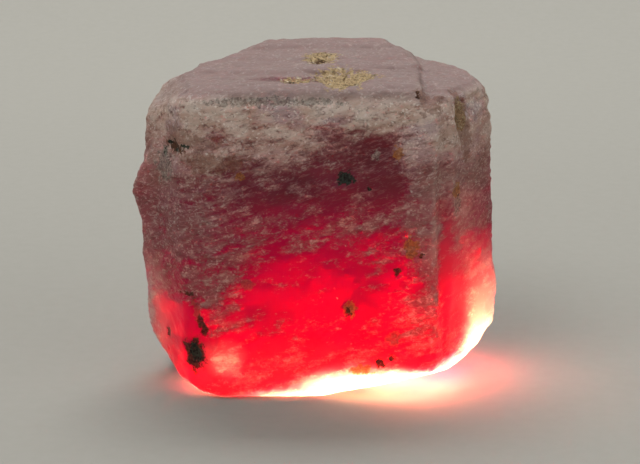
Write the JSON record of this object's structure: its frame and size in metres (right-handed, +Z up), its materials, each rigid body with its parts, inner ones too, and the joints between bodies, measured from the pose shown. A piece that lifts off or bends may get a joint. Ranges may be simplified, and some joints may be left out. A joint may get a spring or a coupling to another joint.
{
  "type": "raw ruby crystal",
  "caption": "Stout natural ruby crystal: a worn six-sided prism with a flat terraced top, a side ledge, a fused side lobe and chipped lower edges, standing on its flat base.",
  "frame": {"origin": "middle of the bounding box's underside, which lies in the plane of the flat base", "axes": "+Z up, along the crystal's c axis and out of its top growth face; -Y out of the broadest side face; +X to that face's right, the longest extent"},
  "size_m": [0.0362, 0.0278, 0.0321],
  "materials": {
    "ruby": "satin",
    "mica": "satin"
  },
  "bodies": {
    "root": {"ruby_crystal": "ruby"}
  },
  "joints": []
}
